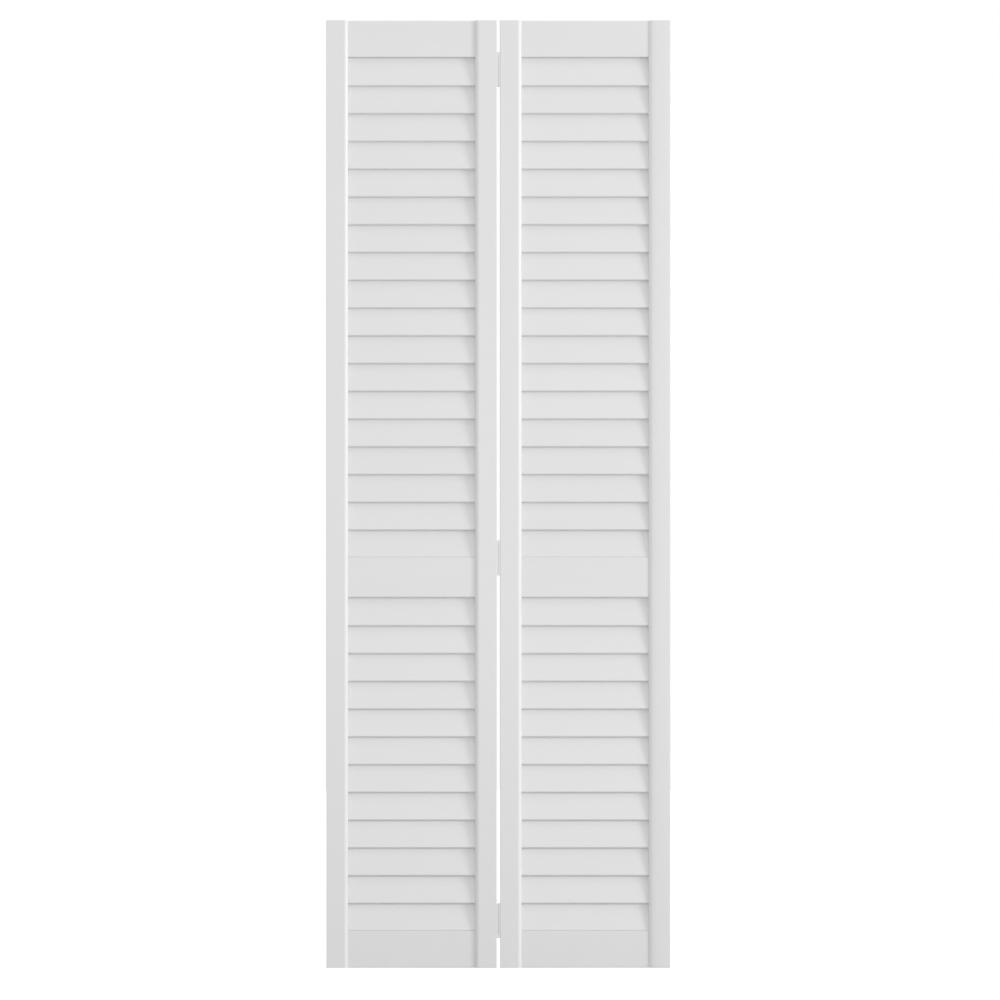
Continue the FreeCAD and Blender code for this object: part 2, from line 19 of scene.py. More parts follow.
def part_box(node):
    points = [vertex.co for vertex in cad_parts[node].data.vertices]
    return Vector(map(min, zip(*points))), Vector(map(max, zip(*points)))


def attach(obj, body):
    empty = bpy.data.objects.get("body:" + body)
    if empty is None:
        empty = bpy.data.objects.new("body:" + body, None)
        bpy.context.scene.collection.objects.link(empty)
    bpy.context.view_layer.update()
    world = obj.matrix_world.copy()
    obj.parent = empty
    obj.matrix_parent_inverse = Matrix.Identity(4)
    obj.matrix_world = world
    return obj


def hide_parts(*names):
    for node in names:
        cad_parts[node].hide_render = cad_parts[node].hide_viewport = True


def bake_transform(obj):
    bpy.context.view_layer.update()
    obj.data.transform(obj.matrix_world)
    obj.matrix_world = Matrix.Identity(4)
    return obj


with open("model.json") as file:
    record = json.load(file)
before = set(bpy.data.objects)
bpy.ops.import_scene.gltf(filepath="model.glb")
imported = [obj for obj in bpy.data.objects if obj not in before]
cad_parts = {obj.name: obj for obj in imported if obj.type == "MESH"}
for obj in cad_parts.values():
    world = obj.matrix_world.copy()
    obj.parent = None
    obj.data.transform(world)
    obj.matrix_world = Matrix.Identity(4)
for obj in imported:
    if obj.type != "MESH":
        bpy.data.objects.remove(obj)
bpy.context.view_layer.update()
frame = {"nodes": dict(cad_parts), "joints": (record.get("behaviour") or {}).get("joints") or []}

# %% [markdown]
# ## Sizes
# A stranger who opens this file wants to find each size once. The rest, such as radii and walls, can't
# be read off a box, so it is written here in metres through `mm`, because a door maker thinks in
# millimetres and Blender counts in metres.

# %% Sizes from the model
X, Y, Z = range(3)


def mm(*values):
    """Millimetres as metres: one number, or an array of several."""
    return values[0] / 1000 if len(values) == 1 else np.array(values) / 1000


def span(node, axis):
    """Lowest and highest coordinate of a node along an axis."""
    low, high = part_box(node)
    return low[axis], high[axis]


door_height = span("pivot_outer_stile", Z)[1]
face = span("pivot_outer_stile", Y)[1]  # the door's mid-plane to a stile's face
stile_width = span("pivot_outer_stile", X)[1] - span("pivot_outer_stile", X)[0]
rail_face = span("pivot_top_rail", Y)[1]
print(f"door {door_height:.3f} m high, {2 * face:.4f} m thick, stiles {stile_width:.3f} m wide")

# Each stile: the x of its outer edge, the way from there into the panel, and whether it has a shoulder.
STILES = {
    "pivot_outer": (span("pivot_outer_stile", X)[0], 1, False),
    "pivot_hinge": (span("pivot_hinge_stile", X)[1], -1, False),
    "lead_hinge": (span("lead_hinge_stile", X)[0], 1, False),
    "lead_outer": (span("lead_outer_stile", X)[1], -1, True),
}
PANELS = ("pivot", "lead")

# %% [markdown]
# ## Making meshes
# Most pieces of a door are sections carried along a line: extrusions, bars and plates. The others are
# turned about an axis: bushes, pins and screws. Both are worked out here as arrays of points, which is
# exact at any fineness, where a modelled cube with bevels would have to be fitted by eye.

# %% Mesh helpers
SHARP_ANGLE = math.radians(35)
SAME_PLACE = mm(0.0005)


def grid_quads(rows, columns, close_rows=False, close_columns=True):
    """Quads between neighbours of a grid. Its point (row, column) has the number row * columns + column."""
    index = np.arange(rows * columns).reshape(rows, columns)
    if close_rows:
        index = np.vstack([index, index[:1]])
    if close_columns:
        index = np.hstack([index, index[:, :1]])
    corners = [index[:-1, :-1], index[:-1, 1:], index[1:, 1:], index[1:, :-1]]
    return np.stack(corners, axis=-1).reshape(-1, 4)


def joined(parts):
    """Several (points, faces) as one: each part's face numbers move up by the points before it."""
    points, faces, count = [], [], 0
    for part_points, part_faces in parts:
        points.append(part_points)
        faces += [[number + count for number in corners] for corners in part_faces]
        count += len(part_points)
    return np.concatenate(points), faces


def as_object(name, *parts):
    """A mesh object of (points, faces) parts, with poles closed and faces outwards."""
    points, faces = joined(parts)
    mesh = bpy.data.meshes.new(name)
    mesh.from_pydata(points.tolist(), [], faces)
    shape = bmesh.new()
    shape.from_mesh(mesh)
    bmesh.ops.remove_doubles(shape, verts=shape.verts, dist=SAME_PLACE)
    bmesh.ops.recalc_face_normals(shape, faces=shape.faces)
    shape.to_mesh(mesh)
    shape.free()
    thing = bpy.data.objects.new(name, mesh)
    bpy.context.scene.collection.objects.link(thing)
    return thing


def turned_to(points, along):
    """Points given as (u, v, w), with w along the named axis and the three axes kept in their order."""
    return np.roll(points, {"z": 0, "x": 1, "y": 2}[along], axis=1)


def arc(centre, radius, start, end, steps):
    """Points centre + radius * (cos a, sin a), with a from start to end in equal steps."""
    angles = np.linspace(start, end, steps)
    return np.array(centre) + radius * np.stack([np.cos(angles), np.sin(angles)], axis=1)


def eased(corners, radius, steps=4):
    """A closed outline with an arc at each corner that touches both of its sides.

    With u and v from the corner towards its neighbours and p the angle between them, the arc's centre lies
    radius / sin(p / 2) along u + v, and its points turn from square to u to square to v.
    """
    corners = np.asarray(corners, float)
    radius = np.broadcast_to(np.asarray(radius, float), len(corners))[:, None]
    u = np.roll(corners, 1, axis=0) - corners
    v = np.roll(corners, -1, axis=0) - corners
    u /= np.linalg.norm(u, axis=1, keepdims=True)
    v /= np.linalg.norm(v, axis=1, keepdims=True)
    cosine = (u * v).sum(axis=1, keepdims=True)
    centres = corners + (u + v) * radius / np.sqrt(1 - cosine**2)
    first = (cosine * u - v) / np.sqrt(1 - cosine**2)
    last = (cosine * v - u) / np.sqrt(1 - cosine**2)
    turn = np.arccos(np.clip((first * last).sum(axis=1), -1, 1))[:, None, None]
    share = np.linspace(0, 1, steps)[None, :, None]
    ways = np.sin((1 - share) * turn) * first[:, None] + np.sin(share * turn) * last[:, None]
    return (centres[:, None] + radius[:, None] * ways / np.sin(turn)).reshape(-1, 2)


def circle(radius, centre=(0.0, 0.0), steps=64):
    """Closed circle without its last point, which would be its first again."""
    return arc(centre, radius, 0, 2 * math.pi, steps + 1)[:-1]


def area(outline):
    """Half the sum of x * next y - next x * y: above zero if the outline runs anticlockwise."""
    following = np.roll(outline, -1, axis=0)
    return (outline[:, 0] * following[:, 1] - following[:, 0] * outline[:, 1]).sum() / 2


def drawn_in(outline, distance):
    """The outline moved to its left by a distance: each point goes along the mean of its sides' normals."""
    sides = np.roll(outline, -1, axis=0) - outline
    normals = np.stack([-sides[:, 1], sides[:, 0]], axis=1)
    normals /= np.linalg.norm(normals, axis=1, keepdims=True)
    mean = normals + np.roll(normals, 1, axis=0)
    return outline + distance * mean * 2 / (mean * mean).sum(axis=1, keepdims=True)


def prism(loops, low, high, along="z", arris=0.0):
    """(points, faces) of a section carried from low to high. The first loop is its outline, the rest holes.

    A loop is a closed outline in the two axes that follow `along` in the order x, y, z. The outline runs
    anticlockwise and the holes clockwise, so material lies to the left of each. With an arris, the ends are
    chamfered: there each loop is drawn in to its left by the arris.
    """
    loops = [
        loop if (area(loop) > 0) == (number == 0) else loop[::-1] for number, loop in enumerate(loops)
    ]
    levels = [(low, arris), (low + arris, 0.0), (high - arris, 0.0), (high, arris)]
    levels = levels if arris else [(low, 0.0), (high, 0.0)]
    parts, bases, count = [], [], 0
    for loop in loops:
        rings = [np.column_stack([drawn_in(loop, inset), np.full(len(loop), w)]) for w, inset in levels]
        parts.append((np.concatenate(rings), grid_quads(len(levels), len(loop)).tolist()))
        bases.append(count + np.arange(len(loop)))
        count += len(levels) * len(loop)
    points, faces = joined(parts)
    at_low = np.concatenate(bases)
    lifts = [np.full(len(loop), (len(levels) - 1) * len(loop)) for loop in loops]
    at_high = at_low + np.concatenate(lifts)
    flat = [np.column_stack([drawn_in(loop, arris), np.zeros(len(loop))]).tolist() for loop in loops]
    triangles = np.array(tessellate_polygon(flat))
    faces += at_low[triangles].tolist() + at_high[triangles].tolist()
    return turned_to(points, along), faces


def lathe(profile, along="z", centre=(0.0, 0.0, 0.0), closed=False, steps=64, ridge=None):
    """(points, faces) of a profile of (radius, height) turned about an axis through the centre.

    A point is (radius * cos a, radius * sin a, height). The profile is a closed ring, or starts and ends on
    the axis. ridge(a, height) is taken off the radius, for a thread or flutes.
    """
    radius, height = np.asarray(profile, float).T
    angle = np.arange(steps) * 2 * math.pi / steps
    radius, angle = np.meshgrid(radius, angle, indexing="ij")
    height = np.broadcast_to(height[:, None], radius.shape)
    if ridge:
        radius = np.maximum(radius - ridge(angle, height), 0)
    points = np.stack([radius * np.cos(angle), radius * np.sin(angle), height], axis=-1)
    points = turned_to(points.reshape(-1, 3), along) + np.array(centre)
    return points, grid_quads(len(profile), steps, close_rows=closed).tolist()


def combined(target, operation, *parts):
    """The target after an exact Boolean with other parts, which have to be closed."""
    tool = as_object("tool", *parts)
    modifier = target.modifiers.new(operation.lower(), "BOOLEAN")
    modifier.object = tool
    modifier.operation = operation
    modifier.solver = "EXACT"
    ready = target.evaluated_get(bpy.context.evaluated_depsgraph_get())
    mesh = bpy.data.meshes.new_from_object(ready)
    target.modifiers.clear()
    target.data = mesh
    bpy.data.objects.remove(tool)
    return target


def points_and_faces(thing):
    """An object's mesh as arrays again, so that copies of it can be placed."""
    points = np.empty(3 * len(thing.data.vertices))
    thing.data.vertices.foreach_get("co", points)
    return points.reshape(-1, 3), [list(polygon.vertices) for polygon in thing.data.polygons]


def copies(part, places, signs=(1, 1, 1)):
    """A part at each place, after its coordinates times signs: one -1 mirrors it, two turn it round."""
    points, faces = part
    return [(points * signs + place, faces) for place in np.asarray(places, float)]


# %% [markdown]
# ## Finishes
# A finish is a small graph of nodes. Patterns read Object coordinates, which are metres here, so a
# scale of `1 / mm(2)` gives a pattern that repeats about every two millimetres, whatever the piece. One
# function adds a node, because then each material below reads as a list of what the surface has.

# %% Material helpers
def linear(code):
    """sRGB hex code to linear RGB and alpha: c / 12.92 if dark, else ((c + 0.055) / 1.055) to the 2.4."""
    values = [int(code[place : place + 2], 16) / 255 for place in (1, 3, 5)]
    return [c / 12.92 if c <= 0.04045 else ((c + 0.055) / 1.055) ** 2.4 for c in values] + [1.0]


def add(tree, kind, inputs=None, **settings):
    """Adds a node. Each input is a value, or another node's output to link to it."""
    node = tree.nodes.new("ShaderNode" + kind)
    for name, value in settings.items():
        setattr(node, name, value)
    for key, value in (inputs or {}).items():
        if isinstance(value, bpy.types.NodeSocket):
            tree.links.new(value, node.inputs[key])
        else:
            node.inputs[key].default_value = value
    return node


def new_material(name, surface):
    """A material with a Principled shader whose plain values are set on its own sockets."""
    material = bpy.data.materials.new(name)
    material.use_nodes = True
    shader = material.node_tree.nodes["Principled BSDF"]
    for socket, value in surface.items():
        shader.inputs[socket].default_value = value
    return material, material.node_tree, shader


def noise(tree, size, stretch=(1.0, 1.0, 1.0), detail=2.0):
    """Noise whose grains measure about `size`, drawn out along an axis by the factor given for it."""
    place = add(tree, "TexCoord").outputs["Object"]
    squeezed = add(tree, "Mapping", {"Vector": place, "Scale": [1 / (size * factor) for factor in stretch]})
    return add(
        tree, "TexNoise", {"Vector": squeezed.outputs[0], "Scale": 1.0, "Detail": detail}
    ).outputs[0]


def remapped(tree, value, low, high, start=0.3, end=0.7):
    """A pattern's value, from start to end, turned to the range from low to high."""
    inputs = {"Value": value, "From Min": start, "From Max": end, "To Min": low, "To Max": high}
    return add(tree, "MapRange", inputs).outputs[0]


def between(tree, share, dark, light):
    """A colour between two, each a hex code or another node's colour."""
    dark, light = [linear(colour) if isinstance(colour, str) else colour for colour in (dark, light)]
    return add(tree, "Mix", {0: share, 6: dark, 7: light}, data_type="RGBA").outputs[2]


def raised(tree, height, depth, under=None):
    """Bump of a real depth from a pattern's value, on top of another bump."""
    inputs = {"Height": height, "Distance": depth, "Strength": 1.0}
    if under:
        inputs["Normal"] = under
    return add(tree, "Bump", inputs).outputs[0]


# %% [markdown]
# ## White extruded vinyl
# Stiles, rails and slats are PVC, pushed through a steel die. That gives a smooth, faintly satin skin
# with fine lines along the extrusion, where the die's edge has scratches, and a long slow waviness
# where the hot wall sagged before it set. The lines only show in a glancing light, so they are mostly
# bump. PVC is neutral white with a touch of grey, and a whole door never has one even tone.

# %% Vinyl
VINYL_LIGHT = "#e5e5e5"
VINYL_DARK = "#dfdfdf"


def extruded_vinyl(name, along):
    """Vinyl whose die lines run along an axis."""
    material, tree, shader = new_material(name, {"Roughness": 0.4, "IOR": 1.53})
    drawn_out = [200.0 if axis == along else 1.0 for axis in (X, Y, Z)]
    waves_out = [12.0 if axis == along else 1.0 for axis in (X, Y, Z)]
    die_lines = noise(tree, mm(0.9), drawn_out, detail=3)
    waves = noise(tree, mm(26), waves_out, detail=1)
    tone = noise(tree, mm(140), waves_out, detail=3)
    grain = noise(tree, mm(0.35))
    tree.links.new(between(tree, tone, VINYL_DARK, VINYL_LIGHT), shader.inputs["Base Color"])
    tree.links.new(remapped(tree, die_lines, 0.35, 0.46), shader.inputs["Roughness"])
    skin = raised(tree, waves, mm(0.08))
    skin = raised(tree, die_lines, mm(0.006), skin)
    skin = raised(tree, grain, mm(0.0015), skin)
    tree.links.new(skin, shader.inputs["Normal"])
    return material


vinyl_upright = extruded_vinyl("vinyl_extruded_upright", Z)
vinyl_level = extruded_vinyl("vinyl_extruded_level", X)

# %% [markdown]
# ## Fibreboard, beech, enamel, nylon and steel
# Only the ends of the stiles and the open hinge side show the other finishes. Fibreboard is a brown
# felt of short wood fibres, rough where it is sawn. Dowels are turned beech, with fine dark flecks
# along the grain. Hinges have a baked white enamel, which flows out into a soft orange peel. Bushes and
# the roller are moulded nylon, a little creamy, and light goes slightly into it. Pins are turned steel
# with bright zinc.

# %% Other finishes
def sawn_fibreboard(name):
    """Brown felt of fibres: a pale ground, dark short fibres and rough sawn pores."""
    material, tree, shader = new_material(name, {"Roughness": 0.88, "IOR": 1.45})
    clumps = noise(tree, mm(3), detail=4)
    fibres = noise(tree, mm(0.5), (1.0, 1.0, 4.0), detail=5)
    ground = between(tree, clumps, "#a98761", "#bd9c74")
    dark_fibres = remapped(tree, fibres, 0.0, 0.6, 0.5, 0.7)
    tree.links.new(between(tree, dark_fibres, ground, "#84643f"), shader.inputs["Base Color"])
    tree.links.new(raised(tree, fibres, mm(0.12)), shader.inputs["Normal"])
    return material


def turned_beech(name):
    """Pale pinkish wood with flecks drawn out along the dowel."""
    material, tree, shader = new_material(name, {"Roughness": 0.62, "IOR": 1.45})
    flecks = noise(tree, mm(0.45), (14.0, 1.0, 1.0), detail=3)
    bands = noise(tree, mm(2.2), (20.0, 1.0, 1.0))
    ground = between(tree, bands, "#cfa97c", "#dfbf95")
    dark_flecks = remapped(tree, flecks, 0.0, 0.7, 0.58, 0.72)
    tree.links.new(between(tree, dark_flecks, ground, "#9a6f47"), shader.inputs["Base Color"])
    tree.links.new(raised(tree, flecks, mm(0.05)), shader.inputs["Normal"])
    return material


def baked_enamel(name):
    """White paint on steel: even colour, soft orange peel, brighter gloss than the vinyl."""
    material, tree, shader = new_material(name, {"Roughness": 0.3, "IOR": 1.5})
    peel = noise(tree, mm(1.4), detail=1)
    tone = noise(tree, mm(18))
    tree.links.new(between(tree, tone, "#e0e0e0", "#e6e6e6"), shader.inputs["Base Color"])
    tree.links.new(remapped(tree, peel, 0.26, 0.36), shader.inputs["Roughness"])
    tree.links.new(raised(tree, peel, mm(0.02)), shader.inputs["Normal"])
    return material


def moulded_nylon(name):
    """Creamy nylon: light goes a millimetre in, and the mould's spark texture breaks up the gloss."""
    surface = {"Roughness": 0.45, "IOR": 1.53, "Subsurface Weight": 0.15, "Subsurface Scale": mm(1)}
    material, tree, shader = new_material(name, surface)
    texture = noise(tree, mm(0.25))
    cloud = noise(tree, mm(6))
    tree.links.new(between(tree, cloud, "#dedad1", "#e8e5dd"), shader.inputs["Base Color"])
    tree.links.new(raised(tree, texture, mm(0.01)), shader.inputs["Normal"])
    return material


def plated_steel(name, dark, light, lines, rough):
    """Steel with rings of tool marks around an upright axis and a finely mottled bright plating."""
    material, tree, shader = new_material(name, {"Metallic": 1.0, "Roughness": rough})
    mottle = noise(tree, mm(0.9), detail=3)
    marks = noise(tree, lines, (40.0, 40.0, 1.0))
    tree.links.new(between(tree, mottle, dark, light), shader.inputs["Base Color"])
    tree.links.new(remapped(tree, marks, rough - 0.06, rough + 0.08), shader.inputs["Roughness"])
    tree.links.new(raised(tree, marks, mm(0.004)), shader.inputs["Normal"])
    return material


FINISHES = {
    "white_vinyl": vinyl_upright,
    "fibreboard": sawn_fibreboard("fibreboard_sawn"),
    "dowel_beech": turned_beech("beech_turned"),
    "hinge_enamel": baked_enamel("enamel_baked_on_steel"),
    "white_nylon": moulded_nylon("nylon_moulded"),
    "zinc_steel": plated_steel("steel_turned_zinc_plated", "#b9bcc2", "#d3d6da", mm(0.12), 0.27),
    "spring_steel": plated_steel("steel_wire_drawn", "#8f9296", "#a9acb0", mm(0.1), 0.34),
}
print(len(bpy.data.materials), "materials")


def fitted(thing, body, slot, *nodes, material=None):
    """Gives a new piece its finish and its body, and lets it stand for its CAD nodes.

    Shading is smooth up to a sharp angle. Where a wide flat face meets a narrow curved one, a plain mean of
    their normals would bend the light on the flat one, so each face's normal counts by its area.
    """
    thing.data.materials.clear()
    thing.data.materials.append(material or FINISHES[slot])
    thing.data.shade_smooth()
    thing.data.set_sharp_from_angle(angle=SHARP_ANGLE)
    normals = thing.modifiers.new("flat_faces_stay_flat", "WEIGHTED_NORMAL")
    normals.keep_sharp = True
    if body:
        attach(thing, body)
    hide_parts(*nodes)
    print(f"{thing.name}: {len(thing.data.polygons)} faces")
    return thing


# %% [markdown]
# ## Stiles
# A stile is one extrusion with two chambers. Its face is flat, its outer edge is square with a small
# radius, and along the opening an ovolo moulding rolls back to the level of the rails. The lead panel's
# outer stile also slopes gently before its moulding, as a second die would make it. The section is
# worked out once, and can be drawn in by a wall's thickness for the chambers. The slats pass through
# slots in the inner wall, and a Boolean is the way to cut those, because each slot leans as its slat
# does.

# %% The stile's section
stile_wall = mm(2)
web = mm(30.4, 31.9)  # between the core's chamber and the slats'
edge_radius = mm(1.5)
moulding_start = stile_width - mm(9)
shoulder_start = moulding_start - mm(10)
shoulder_drop = mm(1.5)
hair = mm(0.002)  # keeps the corners of both chambers off one line, where filling the ends would fail


def ovolo(inset, shoulder):
    """Points of the moulding at y above zero, from the face to the foot, drawn in by an inset.

    It is the arc that leaves the face along its slope and reaches the foot. With a chord of length c at an
    angle s to that slope, its radius is c / (2 sin s).
    """
    slope = math.atan2(-shoulder_drop, moulding_start - shoulder_start) if shoulder else 0.0
    start = np.array([moulding_start, face - (shoulder_drop if shoulder else 0.0)])
    chord = np.array([stile_width, rail_face]) - start
    swing = slope - math.atan2(chord[1], chord[0])
    radius = np.linalg.norm(chord) / (2 * math.sin(swing))
    centre = start - radius * np.array([-math.sin(slope), math.cos(slope)])
    last = math.acos((stile_width - inset - centre[0]) / (radius - inset))
    return arc(centre, radius - inset, slope + math.pi / 2, last, 18)


def stile_loops(shoulder):
    """The stile's outline and its two chambers, with x from the outer edge inwards."""
    upper = ovolo(0.0, shoulder)
    square = edge_radius, face - edge_radius
    corner = arc(square, edge_radius, math.pi / 2, math.pi, 7)
    turn = np.array([[shoulder_start, face]] * shoulder).reshape(-1, 2)
    half = np.concatenate([upper[::-1], turn, corner])
    outline = np.concatenate([half, half[::-1] * [1, -1]])
    inner = ovolo(stile_wall, shoulder)
    fall = shoulder_drop / (moulding_start - shoulder_start) if shoulder else 0.0
    at_web = face - stile_wall - fall * (web - shoulder_start)
    deep = face - stile_wall
    turn = turn - [0, stile_wall]
    first = np.concatenate([[[web[0], at_web[0]]], turn, [[stile_wall, deep]]])
    second = np.concatenate([inner[::-1], [[web[1], at_web[1] - hair]]])
    return [outline, *[np.concatenate([room, room[::-1] * [1, -1]]) for room in (first, second)]]


# %% [markdown]
# ## Slats
# A slat is a flat hollow blade with round edges, leaning back towards the closet, so that its top edge
# stands behind the foot of the slat above. Its lean follows from its thickness, the open slit between
# two slats and their pitch. A bank is one piece: all its blades hold their places for good.

# %% The slats' places and section
slat_thickness = mm(6.4)
slat_overlap = mm(6)
slat_gap = mm(0.9)
slat_radius = mm(3)
slat_wall = mm(1)
slat_clearance = mm(0.3)  # to a rail
slot_clearance = mm(0.25)  # round a slat, in the stile's wall
slat_headroom = mm(2.4)  # how much more of a bank's top slat shows than of the others
rail_lip = mm(2.5)  # how far the front of a rail below slats stands above its top
# Each bank: the rail below it, the rail above it and how many slats it has.
BANKS = {"upper": ("middle", "top", 18), "lower": ("bottom", "middle", 12)}


def rail_ends(panel, rail):
    """Heights of a rail's bottom and of its top, less the lip."""
    low, high = span(f"{panel}_{rail}_rail", Z)
    return low, high - rail_lip * (rail != "top")


room = rail_ends("pivot", "top")[0] - rail_ends("pivot", "middle")[1] - slat_headroom
slat_pitch = room / BANKS["upper"][2]
slat_lean = math.asin((slat_thickness + slat_gap) / slat_pitch)
slat_width = slat_pitch + slat_overlap - slat_thickness * math.sin(slat_lean)
slat_width /= math.cos(slat_lean)
print(f"slats {1000 * slat_width:.1f} mm wide, {math.degrees(slat_lean):.2f} degrees from upright")


def cut_at(outline, ceiling):
    """The part of a convex (y, z) outline below the ceiling.

    Where a side from inside point p to outside point q crosses it, the new point is p + s (q - p), with
    s = (ceiling - height of p) / (height of q - height of p).
    """
    below = outline[:, 1] < ceiling
    if below.all():
        return outline
    start = np.flatnonzero(below & ~np.roll(below, 1))[0]
    outline = np.roll(outline, -start, axis=0)
    count = below.sum()
    inside, outside = outline[[count - 1, 0]], outline[[count, -1]]
    share = (ceiling - inside[:, 1:]) / (outside[:, 1:] - inside[:, 1:])
    return np.concatenate([outline[:count], inside + share * (outside - inside)])


def blade(reach, foot, top, radius, low, ceiling):
    """(y, z) outline of a rounded bar of a slat: 2 * reach thick, and from foot to top across the slat.

    It is turned by the lean about X and centred in the door's thickness, with the slat's foot at height
    low. What stands above the ceiling is cut off flat.
    """
    outline = eased([(-reach, foot), (reach, foot), (reach, top), (-reach, top)], radius)
    sine, cosine = math.sin(slat_lean), math.cos(slat_lean)
    section = outline @ np.array([[cosine, -sine], [sine, cosine]])
    section += [-slat_width * sine / 2, low + slat_thickness / 2 * sine]
    return cut_at(section, ceiling)


def slat_levels(panel, bank):
    """Heights of the feet of a bank's slats from the lowest up, and the height where the top one is cut."""
    below, above, count = BANKS[bank]
    low = rail_ends(panel, below)[1] + slat_clearance
    ceiling = rail_ends(panel, above)[0] - slat_clearance
    return low + slat_pitch * np.arange(count), ceiling


# %% Make the slats
chamber = (slat_width - 3 * slat_wall) / 2  # two hollows side by side, with a wall between them
chamber_radius = slat_radius - slat_wall
for panel in PANELS:
    for bank in BANKS:
        node = f"{panel}_{bank}_slats"
        levels, ceiling = slat_levels(panel, bank)
        blades = []
        for low in levels:
            loops = [blade(slat_thickness / 2, 0.0, slat_width, slat_radius, low, ceiling)]
            for foot in (slat_wall, 2 * slat_wall + chamber):
                size = slat_thickness / 2 - slat_wall, foot, foot + chamber
                loops.append(blade(*size, chamber_radius, low, ceiling - slat_wall))
            blades.append(prism(loops, *span(node, X), "x"))
        slats = as_object("fine_" + node, *blades)
        fitted(slats, f"{panel}_panel", "white_vinyl", node, material=vinyl_level)

# %% [markdown]
# The stiles come next. Each section is mirrored to its side of the panel, carried up the whole height,
# and its slots are cut with the slats' own outlines, grown by the slot's clearance.

# %% Make the stiles
dowel_radius = mm(4)
dowel_reach = mm(15.2, 74.3)  # a dowel's ends, from the stile's outer edge
dowel_offsets = mm(11, 27)  # from the rail's edge that faces the slats
dowel_bore = mm(29, 47)  # from the stile's outer edge, through its web and its inner wall
bore_clearance = mm(0.05)
screw_radius = mm(1.8)
screw_bore = mm(-1, 4)  # from the stile's outer edge, through its outer wall
slot_ends = stile_width + mm(-5, 1)  # from the stile's outer edge, through its inner wall
stile_arris = mm(0.15)
screw_places = [(-mm(4), -mm(26)), (mm(4), 0.0), (-mm(4), mm(26))]  # (y, z) from a hinge's middle
HINGES = {place: np.mean(span(f"{place}_hinge_pin", Z)) for place in ("bottom", "middle", "top")}


def dowel_heights(panel):
    """Two dowels in each end of each rail."""
    middle = np.mean(rail_ends(panel, "middle"))
    return np.concatenate(
        [
            rail_ends(panel, "bottom")[1] - dowel_offsets,
            middle + dowel_offsets - dowel_offsets.mean(),
            rail_ends(panel, "top")[0] + dowel_offsets,
        ]
    )


def holes(radius, places, edge, inwards, depths):
    """Cutters along x at (y, z) places, between two depths from a stile's outer edge."""
    reach = sorted(edge + inwards * depths)
    return [prism([circle(radius, place, 32)], *reach, "x") for place in places]


# A slot's half thickness, foot, top and radius: the slat's own, moved outwards by the clearance.
slot_size = np.array([slat_thickness / 2, 0.0, slat_width, slat_radius])
slot_size += slot_clearance * np.array([1, -1, 1, 1])
for name, (edge, inwards, shoulder) in STILES.items():
    panel = name.split("_")[0]
    loops = [loop * [inwards, 1] + [edge, 0] for loop in stile_loops(shoulder)]
    stile = as_object(f"fine_{name}_stile", prism(loops, 0.0, door_height, arris=stile_arris))
    through = sorted(edge + inwards * slot_ends)
    slots = []
    for bank in BANKS:
        levels, ceiling = slat_levels(panel, bank)
        ceiling += slot_clearance
        slots += [prism([blade(*slot_size, low, ceiling)], *through, "x") for low in levels]
    dowels = [(0.0, z) for z in dowel_heights(panel)]
    bores = holes(dowel_radius + bore_clearance, dowels, edge, inwards, dowel_bore)
    if name.endswith("hinge"):
        screws = [(y, middle + z) for middle in HINGES.values() for y, z in screw_places]
        bores += holes(screw_radius + 2 * bore_clearance, screws, edge, inwards, screw_bore)
    combined(stile, "DIFFERENCE", *slots, *bores)
    fitted(stile, f"{panel}_panel", "white_vinyl", f"{name}_stile")

# %% [markdown]
# ## Rails
# A rail is a hollow rectangular extrusion with rounded edges. It is cut square, and butts against both
# stiles. The front of the two lower rails runs up into a thin lip, which hides the round foot of the
# slat behind it, so that slat and rail meet without a dark line.

# %% Make the rails
rail_radius = mm(2.5)
rail_wall = mm(2)
lip_thickness = mm(0.8)
lip_radius = mm(0.3)
edge_steps = 8  # points on each rounded edge
for panel in PANELS:
    for rail in ("bottom", "middle", "top"):
        node = f"{panel}_{rail}_rail"
        left, right = span(node, X)
        low, high = rail_ends(panel, rail)
        corners = [(-rail_face, low), (rail_face, low), (rail_face, high), (-rail_face, high)]
        hollow = eased(drawn_in(np.array(corners), rail_wall), rail_radius, edge_steps)
        radius = [rail_radius] * 4
        if rail != "top":
            back, tip = lip_thickness - rail_face, high + rail_lip
            corners[3:] = [(back, high), (back, tip), (-rail_face, tip)]
            radius[3:] = [lip_radius] * 3
        outline = eased(corners, radius, edge_steps)
        rail_piece = as_object("fine_" + node, prism([outline, hollow], left, right, "x"))
        fitted(rail_piece, f"{panel}_panel", "white_vinyl", node, material=vinyl_level)

# %% [markdown]
# ## Cores and dowels
# Fibreboard bars fill the stiles' outer chambers, 1.5 mm short of their ends, and hold the bushes in
# round bores. The hinge stiles' cores and the rails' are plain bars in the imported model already, so
# they keep their meshes and only get their finish. Dowels are fluted, so that glue can creep along
# them.

